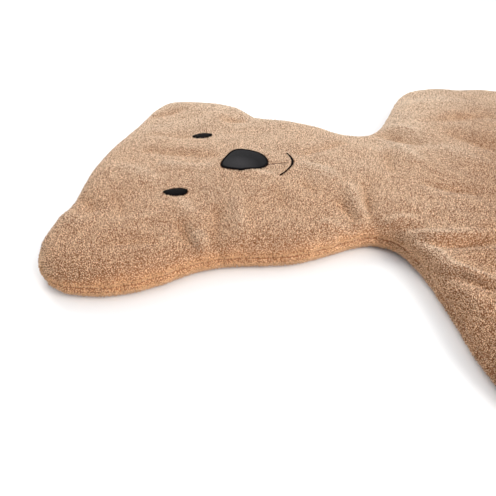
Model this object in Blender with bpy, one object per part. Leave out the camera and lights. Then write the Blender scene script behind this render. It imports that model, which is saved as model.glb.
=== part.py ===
"""A padded fleece play rug in the shape of a bear that lies face up on the floor, in metres.

The origin is the middle of the rug's footprint, on the floor. +Y points to the crown of the head, +Z
points up, and +X is the bear's own left side. A front and a back panel are cut to one outline, filled
and sewn together along the rim. The face is a cloth nose in a stitched edging, two stitched eyes and
a stitched mouth, which lie on the front panel.
"""

import math

import bmesh
import bpy
import numpy as np
from mathutils import Vector
from mathutils.bvhtree import BVHTree
from mathutils.geometry import delaunay_2d_cdt

# Driving sizes of the filled pad
RUG_LENGTH = 1.50
SEAM_HEIGHT = 0.025
SEAM_PINCH = 0.004
SHOULDER_RISE = 0.030
SHOULDER_INSET = 0.042
BELLY_INSET = 0.034
CROWN_RISE = 0.006
CROWN_REACH = 0.085
LUMP_HEIGHT = 0.0018

# How finely the pad's mesh follows its shape
RIM_STEPS = 250
FRONT_GRID = 0.025
BACK_GRID = 0.075
SHOULDER_ANGLES = (14.0, 32.0, 52.0, 72.0, 90.0)
BELLY_ANGLES = (16.0, 42.0, 68.0, 90.0)

# The face, down from the crown of the head and out from the rug's middle line
SHEET_GAP = 0.0003
PATCH_THICKNESS = 0.0015
STITCH_THICKNESS = 0.0020
EYE_LENGTH = 0.042
EYE_WIDTH = 0.027
EYE_DROP = 0.22
NOSE_OUT = -0.006
NOSE_DOWN = 0.3053
NOSE_LENGTH = 0.088
NOSE_WIDTH = 0.0945
NOSE_TAPER = 0.10
NOSE_TILT = -11.0
NOSE_BROW_POWER = 3.6
NOSE_CHIN_POWER = 1.9
EDGING_WIDTH = 0.0045
MOUTH_OUT = 0.0005
MOUTH_DOWN = 0.3950
MOUTH_RIGHT_SPAN = 0.0575
MOUTH_LEFT_SPAN = 0.0490
MOUTH_RISE = 0.020
MOUTH_BEND = 1.35
MOUTH_WIDTH = 0.0060

EYES = (
    # eye, out towards the bear's left, down from the crown, lean towards its right in degrees
    ("eye_right", -0.137, 0.197, 17.0),
    ("eye_left", 0.132, 0.189, 15.0),
)

# The outline, a row for each place on it: how far down from the crown and how far out from the middle
# line the rim runs on the bear's right side and on its left side, which differ a little as sewn.
OUTLINE = (
    # place, right_down, right_out, left_down, left_out
    ("crown", 0.0060, 0.080, 0.0030, 0.085),
    ("brow", 0.0140, 0.135, 0.0100, 0.132),
    ("ear notch", 0.0205, 0.190, 0.0185, 0.195),
    ("ear top", 0.0175, 0.250, 0.0200, 0.255),
    ("ear tip", 0.0250, 0.310, 0.0250, 0.318),
    ("ear corner", 0.0470, 0.352, 0.0450, 0.359),
    ("ear outside", 0.0870, 0.384, 0.0900, 0.378),
    ("ear side", 0.1360, 0.389, 0.1500, 0.381),
    ("ear lower", 0.1820, 0.378, 0.2000, 0.375),
    ("ear root", 0.2320, 0.347, 0.2450, 0.350),
    ("cheek dip", 0.2800, 0.307, 0.2920, 0.301),
    ("cheek top", 0.3220, 0.290, 0.3300, 0.282),
    ("cheek", 0.3720, 0.281, 0.3700, 0.282),
    ("jowl", 0.4220, 0.268, 0.4150, 0.268),
    ("jaw", 0.4710, 0.239, 0.4630, 0.241),
    ("chin", 0.5080, 0.214, 0.5040, 0.213),
    ("neck", 0.5450, 0.198, 0.5330, 0.207),
    ("collar", 0.5700, 0.209, 0.5630, 0.236),
    ("shoulder", 0.5930, 0.250, 0.5870, 0.285),
    ("upper arm", 0.6120, 0.310, 0.6100, 0.359),
    ("forearm", 0.6280, 0.380, 0.6330, 0.446),
    ("wrist", 0.6430, 0.448, 0.6500, 0.508),
    ("hand corner", 0.6760, 0.520, 0.6780, 0.560),
    ("hand", 0.7350, 0.580, 0.7300, 0.590),
    ("palm", 0.8100, 0.608, 0.8100, 0.608),
    ("palm end", 0.8950, 0.617, 0.8950, 0.617),
    ("hand heel", 0.9620, 0.594, 0.9620, 0.594),
    ("under hand", 1.0000, 0.530, 1.0000, 0.530),
    ("underarm", 1.0180, 0.450, 1.0180, 0.450),
    ("armpit", 1.0380, 0.378, 1.0380, 0.378),
    ("side", 1.0850, 0.347, 1.0850, 0.347),
    ("waist", 1.1500, 0.342, 1.1500, 0.342),
    ("hip", 1.2250, 0.360, 1.2250, 0.360),
    ("thigh", 1.3000, 0.390, 1.3000, 0.390),
    ("calf", 1.3700, 0.417, 1.3700, 0.417),
    ("foot outside", 1.4320, 0.423, 1.4320, 0.423),
    ("toe", 1.4790, 0.386, 1.4790, 0.386),
    ("sole", 1.5000, 0.312, 1.5000, 0.312),
    ("heel", 1.4930, 0.236, 1.4930, 0.236),
    ("ankle", 1.4580, 0.166, 1.4580, 0.166),
    ("shin", 1.4080, 0.112, 1.4080, 0.112),
    ("crotch side", 1.3650, 0.058, 1.3650, 0.058),
)
CROTCH_DOWN = 1.348

# The main soft folds of the front panel, each along a straight line between two places. A height below
# zero is a trough, and one above it is a ridge.
FOLDS = (
    # fold, from_x, from_y, to_x, to_y, half_width, height
    ("snout swell", 0.000, 0.480, 0.000, 0.370, 0.085, 0.0025),
    ("right eye hollow", -0.140, 0.575, -0.135, 0.525, 0.052, -0.0065),
    ("left eye hollow", 0.130, 0.580, 0.135, 0.530, 0.052, -0.0065),
    ("right ear root", -0.215, 0.700, -0.245, 0.560, 0.034, -0.0050),
    ("right brow ridge", -0.060, 0.690, -0.140, 0.570, 0.040, 0.0030),
    ("left ear root", 0.200, 0.710, 0.250, 0.600, 0.032, -0.0060),
    ("left ear swell", 0.320, 0.640, 0.280, 0.560, 0.050, 0.0040),
    ("forehead hollow", 0.020, 0.690, -0.005, 0.540, 0.036, -0.0040),
    ("right cheek dimple", -0.235, 0.510, -0.320, 0.465, 0.020, -0.0045),
    ("right cheek ridge", -0.262, 0.490, -0.322, 0.456, 0.013, 0.0020),
    ("right cheek hollow", -0.205, 0.458, -0.300, 0.452, 0.026, -0.0055),
    ("right cheek swell", -0.165, 0.430, -0.270, 0.408, 0.030, 0.0030),
    ("left cheek dimple", 0.300, 0.480, 0.210, 0.500, 0.026, -0.0050),
    ("right neck crease", -0.130, 0.256, -0.215, 0.243, 0.013, -0.0040),
    ("right neck ridge", -0.085, 0.243, -0.205, 0.227, 0.014, 0.0045),
    ("right neck trough", -0.055, 0.214, -0.215, 0.212, 0.017, -0.0080),
    ("left neck trough", 0.195, 0.196, 0.120, 0.175, 0.020, -0.0050),
    ("left shoulder crease", 0.205, 0.178, 0.150, 0.085, 0.016, -0.0050),
    ("breast ridge", 0.105, 0.150, -0.035, 0.045, 0.026, 0.0040),
    ("breast trough", 0.015, 0.115, -0.090, 0.005, 0.022, -0.0040),
    ("left arm trough", 0.225, 0.010, 0.110, -0.085, 0.030, -0.0050),
    ("left arm ridge", 0.250, 0.120, 0.440, -0.130, 0.045, 0.0040),
    ("right shoulder ridge", -0.240, 0.172, -0.170, 0.020, 0.018, 0.0040),
    ("right shoulder trough", -0.256, 0.160, -0.222, 0.020, 0.014, -0.0040),
    ("right arm crest", -0.266, 0.155, -0.350, 0.050, 0.022, 0.0045),
    ("right armpit trough", -0.330, -0.180, -0.210, -0.120, 0.030, -0.0050),
    ("left armpit trough", 0.330, -0.180, 0.215, -0.130, 0.030, -0.0050),
    ("right hip trough", -0.290, -0.500, -0.150, -0.440, 0.034, -0.0045),
    ("left hip trough", 0.290, -0.490, 0.140, -0.440, 0.034, -0.0045),
)

FLEECE = ("curly fleece", (0.560, 0.345, 0.215, 1.0), 1.0)
PATCH_CLOTH = ("charcoal cloth", (0.042, 0.038, 0.040, 1.0), 0.55)
BLACK_THREAD = ("black embroidery thread", (0.012, 0.011, 0.012, 1.0), 0.45)


def clear_scene():
    """Removes whatever the scene holds."""
    for obj in list(bpy.data.objects):
        bpy.data.objects.remove(obj, do_unlink=True)


def make_material(name, colour, roughness):
    """A Principled finish of one colour."""
    material = bpy.data.materials.new(name)
    material.use_nodes = True
    material.diffuse_color = colour
    shader = material.node_tree.nodes["Principled BSDF"]
    shader.inputs["Base Color"].default_value = colour
    shader.inputs["Roughness"].default_value = roughness
    shader.inputs["Metallic"].default_value = 0.0
    return material


def add_object(name, mesh, material):
    """Puts a finished mesh into the scene, shaded smooth but for its sharp edges."""
    mesh.validate()
    mesh.shade_smooth()
    mesh.set_sharp_from_angle(angle=math.radians(50.0))
    mesh.materials.append(material)
    obj = bpy.data.objects.new(name, mesh)
    bpy.context.scene.collection.objects.link(obj)
    return obj


def plan_y(down):
    """The Y of a place that lies this far down from the crown."""
    return RUG_LENGTH / 2 - down


def outline_knots():
    """The outline's places in plan, once round from the crown, down the right side and up the left."""
    right = [(-row[2], plan_y(row[1])) for row in OUTLINE]
    left = [(row[4], plan_y(row[3])) for row in OUTLINE]
    middle_top = [(0.0, plan_y(0.0))]
    middle_low = [(0.0, plan_y(CROTCH_DOWN))]
    return np.array(middle_top + right + middle_low + left[::-1])


def closed_curve(knots, steps_a_span):
    """A smooth closed curve through the knots: on each span a cubic whose end slopes come from the chord
    across the two neighbouring spans, each weighed by its length."""
    before = np.roll(knots, 1, axis=0)
    after = np.roll(knots, -1, axis=0)
    behind = np.linalg.norm(knots - before, axis=1, keepdims=True)
    ahead = np.linalg.norm(after - knots, axis=1, keepdims=True)
    slope = ((knots - before) / behind * ahead + (after - knots) / ahead * behind) / (behind + ahead)
    share = (np.arange(steps_a_span) / steps_a_span)[None, :, None]
    start, end = knots[:, None], after[:, None]
    start_pull = (slope * ahead)[:, None]
    end_pull = (np.roll(slope, -1, axis=0) * ahead)[:, None]
    points = (
        (2 * share**3 - 3 * share**2 + 1) * start
        + (share**3 - 2 * share**2 + share) * start_pull
        + (3 * share**2 - 2 * share**3) * end
        + (share**3 - share**2) * end_pull
    )
    return points.reshape(-1, 2)


def even_loop(points, count):
    """The same closed loop with this many points, an even distance apart."""
    ring = np.vstack([points, points[:1]])
    run = np.concatenate([[0.0], np.cumsum(np.linalg.norm(np.diff(ring, axis=0), axis=1))])
    stops = np.linspace(0.0, run[-1], count, endpoint=False)
    return np.stack([np.interp(stops, run, ring[:, 0]), np.interp(stops, run, ring[:, 1])], axis=1)


def rug_outline(count=RIM_STEPS):
    """The rug's outline in plan, anticlockwise seen from above."""
    return even_loop(closed_curve(outline_knots(), 12), count)


def inward(loop):
    """The unit vectors that point from an anticlockwise loop's points into it."""
    along = np.roll(loop, -1, axis=0) - np.roll(loop, 1, axis=0)
    along /= np.linalg.norm(along, axis=1, keepdims=True)
    return np.stack([-along[:, 1], along[:, 0]], axis=1)


def distance_to_line(points, start, end):
    """How far each plan point lies from the straight line between two places."""
    run = end - start
    share = np.clip(((points - start) @ run) / (run @ run), 0.0, 1.0)
    return np.linalg.norm(points - start - share[:, None] * run, axis=1)


def distance_to_rim(points, loop):
    """How far each plan point lies from the nearest side of the loop."""
    start, run = loop, np.roll(loop, -1, axis=0) - loop
    across = points[:, None] - start[None]
    share = np.clip((across * run).sum(axis=2) / (run * run).sum(axis=1), 0.0, 1.0)
    return np.linalg.norm(across - share[..., None] * run, axis=2).min(axis=1)


def is_inside(points, loop):
    """Which plan points lie inside the loop, by the sides that a ray towards +X crosses."""
    start, end = loop, np.roll(loop, -1, axis=0)
    x, y = points[:, :1], points[:, 1:]
    spans = (start[:, 1] > y) != (end[:, 1] > y)
    rise = np.where(end[:, 1] == start[:, 1], 1.0, end[:, 1] - start[:, 1])
    crossing = start[:, 0] + (y - start[:, 1]) / rise * (end[:, 0] - start[:, 0])
    return (spans & (x < crossing)).sum(axis=1) % 2 == 1


def relief(points):
    """The soft folds and the lumps of the filling, as heights added to the front panel."""
    x, y = points[:, 0], points[:, 1]
    height = LUMP_HEIGHT * np.sin(19.0 * x + 6.0 * y) * np.sin(17.0 * y - 5.0 * x + 0.6)
    for _, from_x, from_y, to_x, to_y, half_width, rise in FOLDS:
        away = distance_to_line(points, np.array([from_x, from_y]), np.array([to_x, to_y]))
        height += rise * np.exp(-((away / half_width) ** 2))
    return height


def front_height(points, inset):
    """The front panel's height where it lies this far in from the rim: the shoulder's quarter ellipse, then
    a crown that climbs slowly towards the middle, with the folds faded out at the rim."""
    on_shoulder = np.clip(inset / SHOULDER_INSET, 0.0, 1.0)
    shoulder = SHOULDER_RISE * np.sqrt(1.0 - (1.0 - on_shoulder) ** 2)
    past = np.clip(inset - SHOULDER_INSET, 0.0, None)
    crown = CROWN_RISE * (1.0 - np.exp(-((past / CROWN_REACH) ** 1.3)))
    return SEAM_HEIGHT + shoulder + crown + relief(points) * on_shoulder**2


def grid_inside(loop, pitch, margin):
    """The points of a grid of equilateral triangles that lie inside the loop, this far from it."""
    low, high = loop.min(axis=0), loop.max(axis=0)
    row_pitch = pitch * math.sqrt(3.0) / 2.0
    rows, columns = np.meshgrid(
        np.arange(0, math.ceil((high[1] - low[1]) / row_pitch) + 1),
        np.arange(0, math.ceil((high[0] - low[0]) / pitch) + 1),
        indexing="ij",
    )
    x = low[0] + (columns + 0.5 * (rows % 2)) * pitch
    y = low[1] + rows * row_pitch
    points = np.stack([x.ravel(), y.ravel()], axis=1)
    points = points[is_inside(points, loop)]
    return points[distance_to_rim(points, loop) > margin]


def filled_plan(loop, pitch):
    """Triangles that fill a loop, with the loop's points first: plan points and faces."""
    inner = grid_inside(loop, pitch, 0.55 * pitch)
    count = len(loop)
    sides = [(i, (i + 1) % count) for i in range(count)]
    flat = [Vector(p) for p in np.vstack([loop, inner])]
    points, _, faces, _, _, _ = delaunay_2d_cdt(flat, sides, [], 1, 1e-7)
    return np.array([tuple(p) for p in points]), faces


def add_cap(mesh, loop_verts, loop, pitch, height_of, upward):
    """Fills a ring of the mesh with a panel whose inner points take their height from a function."""
    points, faces = filled_plan(loop, pitch)
    heights = height_of(points)
    verts = list(loop_verts)
    for point, height in zip(points[len(loop):], heights[len(loop):]):
        verts.append(mesh.verts.new((point[0], point[1], height)))
    for face in faces:
        corners = face if upward else face[::-1]
        mesh.faces.new([verts[i] for i in corners])


def rim_rings(outline):
    """The rings of the rim from the underside, round the seam, to the front, as plan loops and heights. Each
    follows a quarter ellipse, and the seam between the two is pinched in."""
    into = inward(outline)
    rings = []
    for angle in BELLY_ANGLES[::-1]:
        turn = math.radians(angle)
        loop = outline + into * BELLY_INSET * (1.0 - math.cos(turn))
        rings.append((loop, np.full(len(outline), SEAM_HEIGHT * (1.0 - math.sin(turn)))))
    rings.append((outline + into * SEAM_PINCH, np.full(len(outline), SEAM_HEIGHT)))
    for angle in SHOULDER_ANGLES:
        turn = math.radians(angle)
        inset = SHOULDER_INSET * (1.0 - math.cos(turn))
        loop = outline + into * inset
        rings.append((loop, front_height(loop, np.full(len(loop), inset))))
    return rings


def make_pad(material):
    """The filled pad: the rim's rings bridged one to the next, closed by a flat underside and by the
    crowned front panel."""
    outline = rug_outline()

    def underside(points):
        return np.zeros(len(points))

    def front(points):
        return front_height(points, distance_to_rim(points, outline))

    rings = rim_rings(outline)
    mesh = bmesh.new()
    rows = [[mesh.verts.new((p[0], p[1], z)) for p, z in zip(loop, heights)] for loop, heights in rings]
    count = len(outline)
    for lower, upper in zip(rows, rows[1:]):
        for i in range(count):
            j = (i + 1) % count
            mesh.faces.new((lower[i], lower[j], upper[j], upper[i]))
    add_cap(mesh, rows[0], rings[0][0], BACK_GRID, underside, upward=False)
    add_cap(mesh, rows[-1], rings[-1][0], FRONT_GRID, front, upward=True)
    bmesh.ops.triangulate(mesh, faces=mesh.faces[:])
    surface = BVHTree.FromBMesh(mesh)
    data = bpy.data.meshes.new("pad")
    mesh.to_mesh(data)
    mesh.free()
    return add_object("pad", data, material), surface


def lie_on(surface, x, y):
    """The point of a sheet that lies a hair above the front panel at this place."""
    found, _, _, _ = surface.ray_cast(Vector((x, y, 1.0)), Vector((0.0, 0.0, -1.0)))
    return found + Vector((0.0, 0.0, SHEET_GAP))


def make_sheet(name, loops, closed, surface, thickness, material):
    """A thin sheet that follows the front panel. It is given as plan loops or lines of equal length, bridged
    one to the next, and is thickened upwards. A last loop of one point closes its middle."""
    mesh = bmesh.new()
    rows = [[mesh.verts.new(lie_on(surface, x, y)) for x, y in loop] for loop in loops]
    for outer, inner in zip(rows, rows[1:]):
        count = len(outer)
        for i in range(count if closed else count - 1):
            j = (i + 1) % count
            if len(inner) == 1:
                mesh.faces.new((outer[i], outer[j], inner[0]))
            else:
                mesh.faces.new((outer[i], outer[j], inner[j], inner[i]))
    bmesh.ops.recalc_face_normals(mesh, faces=mesh.faces[:])
    if sum(face.normal.z for face in mesh.faces) < 0:
        bmesh.ops.reverse_faces(mesh, faces=mesh.faces[:])
    data = bpy.data.meshes.new(name)
    mesh.to_mesh(data)
    mesh.free()
    sheet = add_object(name, data, material)
    thicken = sheet.modifiers.new("cloth thickness", "SOLIDIFY")
    thicken.thickness = thickness
    thicken.offset = 1.0
    return sheet


def shrunk_loops(loop, shares):
    """Copies of a loop that shrink towards its middle, and the middle itself."""
    middle = loop.mean(axis=0)
    return [middle + (loop - middle) * share for share in shares] + [middle[None]]


def turned(loop, middle, degrees):
    """The loop turned anticlockwise about a place, seen from above."""
    turn = math.radians(degrees)
    across = np.array([math.cos(turn), math.sin(turn)])
    along = np.array([-math.sin(turn), math.cos(turn)])
    away = loop - middle
    return middle + away[:, :1] * across + away[:, 1:] * along


def make_eye(name, x, down, lean, surface, material):
    """A stitched eye: an oval that is longer down the face than across it, and narrower at the brow."""
    middle = np.array([x, plan_y(down)])
    turn = np.linspace(0.0, 2.0 * math.pi, 24, endpoint=False)
    across = EYE_WIDTH / 2 * np.cos(turn) * (1.0 - EYE_DROP * np.sin(turn))
    oval = middle + np.stack([across, EYE_LENGTH / 2 * np.sin(turn)], axis=1)
    loops = shrunk_loops(turned(oval, middle, lean), (1.0, 0.5))
    return make_sheet(name, loops, True, surface, STITCH_THICKNESS, material)


def nose_loop(grow):
    """The nose's edge, grown outwards by this much: an oval that is squarer and wider towards the brow."""
    turn = np.linspace(0.0, 2.0 * math.pi, 36, endpoint=False)
    power = np.where(np.sin(turn) > 0.0, NOSE_BROW_POWER, NOSE_CHIN_POWER)
    across = np.sign(np.cos(turn)) * np.abs(np.cos(turn)) ** (2.0 / power)
    along = np.sign(np.sin(turn)) * np.abs(np.sin(turn)) ** (2.0 / power)
    across *= 1.0 + NOSE_TAPER * along
    middle = np.array([NOSE_OUT, plan_y(NOSE_DOWN)])
    loop = middle + np.stack([(NOSE_WIDTH / 2 + grow) * across, (NOSE_LENGTH / 2 + grow) * along], axis=1)
    return turned(loop, middle, NOSE_TILT)


def make_nose(surface, material):
    """The cloth patch of the nose, up to the inside of its edging."""
    edge = nose_loop(-EDGING_WIDTH - SHEET_GAP)
    return make_sheet("nose", shrunk_loops(edge, (1.0, 0.7, 0.4)), True, surface, PATCH_THICKNESS, material)


def make_nose_edging(surface, material):
    """The raised band of close stitches round the nose."""
    loops = [nose_loop(0.0), nose_loop(-EDGING_WIDTH)]
    return make_sheet("nose_edging", loops, True, surface, STITCH_THICKNESS, material)


def make_mouth(surface, material):
    """The stitched smile: a curved band, widest at the middle and narrow at its ends."""
    share = np.linspace(-1.0, 1.0, 25)
    out = np.where(share < 0.0, MOUTH_RIGHT_SPAN, MOUTH_LEFT_SPAN) * share
    x = MOUTH_OUT + out
    y = plan_y(MOUTH_DOWN) + MOUTH_RISE * np.abs(out / MOUTH_RIGHT_SPAN) ** MOUTH_BEND
    half = MOUTH_WIDTH / 2 * (0.35 + 0.65 * np.cos(share * math.pi / 2))
    slope = np.gradient(y, x)
    length = np.sqrt(1.0 + slope**2)
    across = np.stack([-slope / length, 1.0 / length], axis=1)
    line = np.stack([x, y], axis=1)
    lines = [line + across * (half * side)[:, None] for side in (-1.0, 0.0, 1.0)]
    return make_sheet("mouth", lines, False, surface, STITCH_THICKNESS, material)


def main():
    clear_scene()
    fleece = make_material(*FLEECE)
    cloth = make_material(*PATCH_CLOTH)
    thread = make_material(*BLACK_THREAD)
    _, surface = make_pad(fleece)
    for name, out, down, lean in EYES:
        make_eye(name, out, down, lean, surface, thread)
    make_nose(surface, cloth)
    make_nose_edging(surface, thread)
    make_mouth(surface, thread)


main()
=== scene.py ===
"""Dresses a bear shaped play rug: the filled fleece pad, its short curly pile, the cloth nose in a band of
satin stitches, two satin stitched eyes, the stitched smile with its lip line, and a plain pale stage.

Everything is in metres in the rug's own frame: the origin is the middle of the footprint on the floor,
+Y points to the crown of the head, +Z points up and +X is the bear's own left side.
"""

import math

import bmesh
import bpy
import numpy as np
from bpy.props import FloatProperty, FloatVectorProperty, IntProperty, PointerProperty
from mathutils import Matrix, Vector
from mathutils.bvhtree import BVHTree


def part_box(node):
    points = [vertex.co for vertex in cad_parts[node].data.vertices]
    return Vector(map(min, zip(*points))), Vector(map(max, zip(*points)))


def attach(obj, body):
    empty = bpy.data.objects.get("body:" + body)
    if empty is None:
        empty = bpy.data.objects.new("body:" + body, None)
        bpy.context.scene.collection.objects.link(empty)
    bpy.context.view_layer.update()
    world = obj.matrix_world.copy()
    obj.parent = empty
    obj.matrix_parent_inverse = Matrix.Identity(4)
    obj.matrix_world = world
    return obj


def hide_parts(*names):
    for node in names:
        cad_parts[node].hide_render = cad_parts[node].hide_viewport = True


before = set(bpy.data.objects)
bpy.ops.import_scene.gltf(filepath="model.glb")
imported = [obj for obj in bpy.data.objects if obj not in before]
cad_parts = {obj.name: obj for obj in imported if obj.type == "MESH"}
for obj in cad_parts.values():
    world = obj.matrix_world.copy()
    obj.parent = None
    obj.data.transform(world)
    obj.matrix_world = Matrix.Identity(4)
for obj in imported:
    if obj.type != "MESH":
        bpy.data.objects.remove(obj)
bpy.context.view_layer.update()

bl_info = {
    "name": "Bear Rug",
    "version": (1, 0, 0),
    "blender": (4, 5, 0),
    "location": "View3D > Sidebar > Bear Rug",
    "description": "Dresses a bear shaped play rug in curly fleece with a stitched face",
    "category": "Add Mesh",
}

BODY = "root"
PAD = "fleece_pad"
SENSOR_WIDTH = 36.0  # millimetres, which the lens goes by

# Seeds of what is left to chance.
PILE_SEED = 41
STITCH_SEED = 7
GATHER_SEED = 3
LUMP_SEED = 5

# Wavelengths of the gathers beside the seam and of the filling's lumps.
GATHER_LENGTH = 0.030
LUMP_LENGTH = 0.110

FLOOR_GAP = 0.0003  # nothing of the rug lies lower
LOWEST_TUFT = 0.0025  # no curl stands on cloth that lies lower

# How high the normal of a place points, from 1 up to -1 down, tells what part of the cover it is on: the
# face's stitches lie over what is above the first, the seam runs where it is nearer 0 than the second, and
# curls stand above the third.
FRONT_SLOPE = 0.50
WALL_SLOPE = 0.75
UNDERSIDE_SLOPE = -0.80
# Where the cover starts to lift off the floor and to take its folds, and the reach over which both grow.
OFF_FLOOR = (-0.93, 0.30)
FOLDED = (0.35, 0.50)

# How deep the ends of a satin stitch dive under the pile's tips, and how high its middle stands over them
# before its own arch is added.
STITCH_DIVE = 0.0022
STITCH_LIFT = 0.0004

# How far an end of a stitch leans along its row, in shares of the distance between two stitches.
BAND_SLANT = 1.2
EYE_SLANT = 0.6

# How much each kind of satin stitch arches besides.
NOSE_ARCH = 0.0013
EYE_ARCH = 0.0016
MOUTH_ARCH = 0.0006
LIP_ARCH = -0.0001

STITCH_END = 0.55  # a stitch's thickness at its ends, as a share of that at its middle
EYE_MARGIN = 0.0004  # from an eye's end to its first stitch, and from its edge to the stitches' ends
PATCH_INSET = 0.6  # how far the nose's edge lies inside its band, as a share of the band
MOUTH_THREAD = 0.8  # thickness of the mouth's thread, as a share of the other black thread's
LIP_THREAD = 0.0011
LIP_STITCHES = 12
LIP_STITCH = 0.070  # length of one stitch of the lip line, as a share of the line
LIP_GAP = 0.7  # bare cloth on each side of the lip line, as a share of that round the face

# The smile's least width, as a share of that at its middle, and the power by which it thins, on the bear's
# right and on its left.
MOUTH_LEAST = (0.06, 0.25)
MOUTH_THINNING = (7, 3)

# Two corners in plan of what holds the whole face.
FACE_LOW = (-0.19, 0.33)
FACE_HIGH = (0.19, 0.61)

SCATTER = 0.45  # how far a curl is moved aside, in shares of the distance between curls
TIP_LEAN = 0.5  # how far a curl's tip leans aside, in shares of half its length
RIM_FADE = 1.3  # how fast the rim's colour, partly painted light and shade, fades as the cloth turns upwards

# Sheets, from the middle of the underside out and back over the top: the share of the loop that each ring
# is, and its height over the pile's tips.
NOSE_PROFILE = (
    (0.0, -0.0005), (0.5, -0.0005), (0.97, -0.0005), (1.0, 0.0002), (0.97, 0.0008), (0.85, 0.0013),
    (0.65, 0.0018), (0.4, 0.0021), (0.2, 0.0022), (0.0, 0.0022),
)
UNDERLAY_PROFILE = (
    (0.0, -0.0032), (0.6, -0.0032), (0.90, -0.0032), (0.93, -0.0010), (0.80, 0.0006), (0.5, 0.0011),
    (0.0, 0.0012),
)

# The pile is made in one piece for each part of the rug, cut in plan down its middle and across these lines.
FAR = 9.0  # beyond the rug on any side
NECK_LINE = 0.215
HIP_LINE = -0.270
PILE_PARTS = (
    # piece, lowest x, highest x, lowest y, highest y
    ("pile_head_right", -FAR, 0.0, NECK_LINE, FAR),
    ("pile_head_left", 0.0, FAR, NECK_LINE, FAR),
    ("pile_arm_right", -FAR, 0.0, HIP_LINE, NECK_LINE),
    ("pile_arm_left", 0.0, FAR, HIP_LINE, NECK_LINE),
    ("pile_leg_right", -FAR, 0.0, -FAR, HIP_LINE),
    ("pile_leg_left", 0.0, FAR, -FAR, HIP_LINE),
)

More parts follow.
